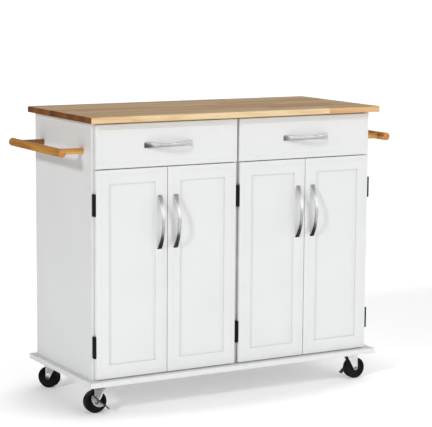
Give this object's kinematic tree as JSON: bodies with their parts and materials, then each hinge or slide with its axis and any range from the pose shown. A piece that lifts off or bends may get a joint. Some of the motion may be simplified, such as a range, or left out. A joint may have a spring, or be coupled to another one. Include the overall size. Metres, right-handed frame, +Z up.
{
  "type": "kitchen island cart",
  "caption": "Kitchen island cart on swivel casters: wooden worktop on a white cabinet with drawers over panelled doors, arched pulls and a wooden towel bar at each end.",
  "frame": {"origin": "on the floor, midway between the two towel bars' outer sides, and between the front of the pulls and the worktop's rear edge", "axes": "+X to the viewer's right as the doors are faced, -Y out of the doors, +Z up"},
  "size_m": [1.1664, 0.463, 0.888],
  "materials": {
    "worktop_wood": "satin oiled hardwood staves",
    "towel_bar_wood": "satin varnished hardwood",
    "white_paint": "satin white paint on board",
    "white_board": "matt white faced board",
    "pull_metal": "satin nickel plate",
    "hinge_black": "semi-gloss black",
    "zinc_steel": "bright zinc plate",
    "brake_steel": "zinc plate with a black pedal edge",
    "bolt_steel": "bright zinc plate",
    "runner_steel": "white powder coat",
    "wheel_black": "moulded black plastic",
    "white_plastic": "moulded white plastic"
  },
  "bodies": {
    "root": {"worktop": "worktop_wood", "base_board": "white_paint", "side_panel_left": "white_paint", "side_panel_right": "white_paint", "centre_divider": "white_board", "back_panel": "white_paint", "cross_rails": "white_board", "shelf_left": "white_board", "shelf_right": "white_board", "shelf_pins": "bolt_steel", "towel_bar_left": "towel_bar_wood", "towel_bar_right": "towel_bar_wood", "towel_bar_posts": "towel_bar_wood", "drawer_runners_fixed": "runner_steel", "hinge_frame_leaves": "hinge_black", "hinge_pins": "hinge_black", "hinge_screws": "hinge_black", "door_catches": "white_plastic", "assembly_screws": "bolt_steel", "caster_plates": "zinc_steel"},
    "drawer_left": {"drawer_left_front": "white_paint", "drawer_left_box": "white_board", "drawer_left_bottom": "white_board", "drawer_left_pull": "pull_metal", "drawer_left_runners": "runner_steel"},
    "drawer_right": {"drawer_right_front": "white_paint", "drawer_right_box": "white_board", "drawer_right_bottom": "white_board", "drawer_right_pull": "pull_metal", "drawer_right_runners": "runner_steel"},
    "door_1": {"door_1_frame": "white_paint", "door_1_panel": "white_paint", "door_1_pull": "pull_metal", "door_1_hinge_leaves": "hinge_black"},
    "door_2": {"door_2_frame": "white_paint", "door_2_panel": "white_paint", "door_2_pull": "pull_metal", "door_2_hinge_leaves": "hinge_black"},
    "door_3": {"door_3_frame": "white_paint", "door_3_panel": "white_paint", "door_3_pull": "pull_metal", "door_3_hinge_leaves": "hinge_black"},
    "door_4": {"door_4_frame": "white_paint", "door_4_panel": "white_paint", "door_4_pull": "pull_metal", "door_4_hinge_leaves": "hinge_black"},
    "caster_front_left": {"caster_front_left_fork": "zinc_steel", "caster_front_left_axle": "bolt_steel"},
    "wheel_front_left": {"caster_front_left_wheel": "wheel_black"},
    "brake_front_left": {"caster_front_left_brake": "brake_steel"},
    "caster_front_right": {"caster_front_right_fork": "zinc_steel", "caster_front_right_axle": "bolt_steel"},
    "wheel_front_right": {"caster_front_right_wheel": "wheel_black"},
    "brake_front_right": {"caster_front_right_brake": "brake_steel"},
    "caster_rear_left": {"caster_rear_left_fork": "zinc_steel", "caster_rear_left_axle": "bolt_steel"},
    "wheel_rear_left": {"caster_rear_left_wheel": "wheel_black"},
    "caster_rear_right": {"caster_rear_right_fork": "zinc_steel", "caster_rear_right_axle": "bolt_steel"},
    "wheel_rear_right": {"caster_rear_right_wheel": "wheel_black"}
  },
  "joints": [
    {"name": "drawer_left_slide", "type": "slide", "parent": "root", "child": "drawer_left", "axis": [0, -1, 0], "range_m": [0, 0.25]},
    {"name": "drawer_right_slide", "type": "slide", "parent": "root", "child": "drawer_right", "axis": [0, -1, 0], "range_m": [0, 0.25]},
    {"name": "door_1_hinge", "type": "hinge", "parent": "root", "child": "door_1", "pos_m": [-0.4815, -0.2005, 0.41975], "axis": [0, 0, 1], "range_deg": [-165, 0]},
    {"name": "door_2_hinge", "type": "hinge", "parent": "root", "child": "door_2", "pos_m": [-0.0036, -0.2005, 0.41975], "axis": [0, 0, 1], "range_deg": [0, 95]},
    {"name": "door_3_hinge", "type": "hinge", "parent": "root", "child": "door_3", "pos_m": [0.0036, -0.2005, 0.41975], "axis": [0, 0, 1], "range_deg": [-95, 0]},
    {"name": "door_4_hinge", "type": "hinge", "parent": "root", "child": "door_4", "pos_m": [0.4815, -0.2005, 0.41975], "axis": [0, 0, 1], "range_deg": [0, 165]},
    {"name": "swivel_front_left", "type": "hinge", "parent": "root", "child": "caster_front_left", "pos_m": [-0.447, -0.163, 0.079], "axis": [0, 0, 1], "continuous": true},
    {"name": "wheel_spin_front_left", "type": "hinge", "parent": "caster_front_left", "child": "wheel_front_left", "pos_m": [-0.46496, -0.16174, 0.034], "axis": [-0.0698, -0.9976, 0], "continuous": true},
    {"name": "brake_lever_front_left", "type": "hinge", "parent": "caster_front_left", "child": "brake_front_left", "pos_m": [-0.46496, -0.16174, 0.034], "axis": [-0.0698, -0.9976, 0], "range_deg": [0, 20]},
    {"name": "swivel_front_right", "type": "hinge", "parent": "root", "child": "caster_front_right", "pos_m": [0.447, -0.163, 0.079], "axis": [0, 0, 1], "continuous": true},
    {"name": "wheel_spin_front_right", "type": "hinge", "parent": "caster_front_right", "child": "wheel_front_right", "pos_m": [0.46499, -0.16363, 0.034], "axis": [0.0349, 0.9994, 0], "continuous": true},
    {"name": "brake_lever_front_right", "type": "hinge", "parent": "caster_front_right", "child": "brake_front_right", "pos_m": [0.46499, -0.16363, 0.034], "axis": [0.0349, 0.9994, 0], "range_deg": [0, 20]},
    {"name": "swivel_rear_left", "type": "hinge", "parent": "root", "child": "caster_rear_left", "pos_m": [-0.447, 0.169, 0.079], "axis": [0, 0, 1], "continuous": true},
    {"name": "wheel_spin_rear_left", "type": "hinge", "parent": "caster_rear_left", "child": "wheel_rear_left", "pos_m": [-0.45857, 0.18279, 0.034], "axis": [-0.766, -0.6428, 0], "continuous": true},
    {"name": "swivel_rear_right", "type": "hinge", "parent": "root", "child": "caster_rear_right", "pos_m": [0.447, 0.169, 0.079], "axis": [0, 0, 1], "continuous": true},
    {"name": "wheel_spin_rear_right", "type": "hinge", "parent": "caster_rear_right", "child": "wheel_rear_right", "pos_m": [0.46079, 0.18057, 0.034], "axis": [-0.6428, 0.766, 0], "continuous": true}
  ]
}
